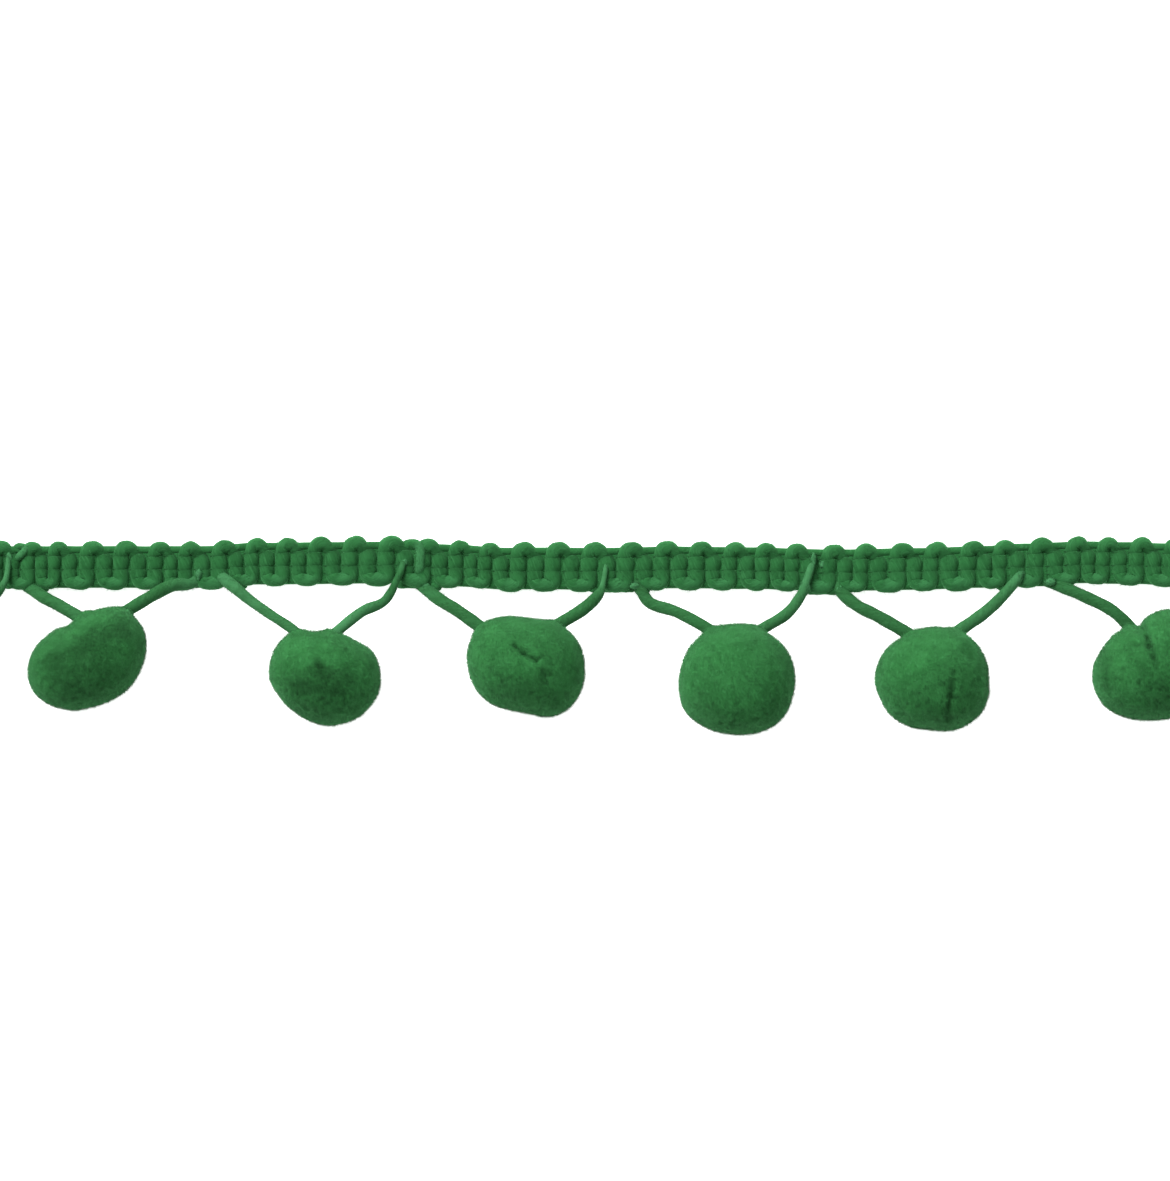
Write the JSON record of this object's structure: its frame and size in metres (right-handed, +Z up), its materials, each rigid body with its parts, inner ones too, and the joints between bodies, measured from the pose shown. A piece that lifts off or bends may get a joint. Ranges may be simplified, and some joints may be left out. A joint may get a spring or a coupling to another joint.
{
  "type": "pompom fringe trim",
  "caption": "Braided yarn heading with small bumps along one edge and a row of round plush pompoms, each hung from the other edge on two cord legs.",
  "frame": {"origin": "middle of the heading's flat back, which is the side that is sewn down", "axes": "+X along the trim, +Y across it towards the bumped edge and away from the pompoms, +Z up from the surface that it lies on"},
  "size_m": [0.1307, 0.0181, 0.0098],
  "materials": {
    "braid_yarn": "soft matt green yarn, braided in close upright loops",
    "pompom_pile": "dense, soft, clipped green pile"
  },
  "bodies": {
    "root": {"heading": "braid_yarn", "pompom_0": "pompom_pile", "pompom_1": "pompom_pile", "pompom_2": "pompom_pile", "pompom_3": "pompom_pile", "pompom_4": "pompom_pile", "pompom_5": "pompom_pile", "pompom_6": "pompom_pile"}
  },
  "joints": []
}
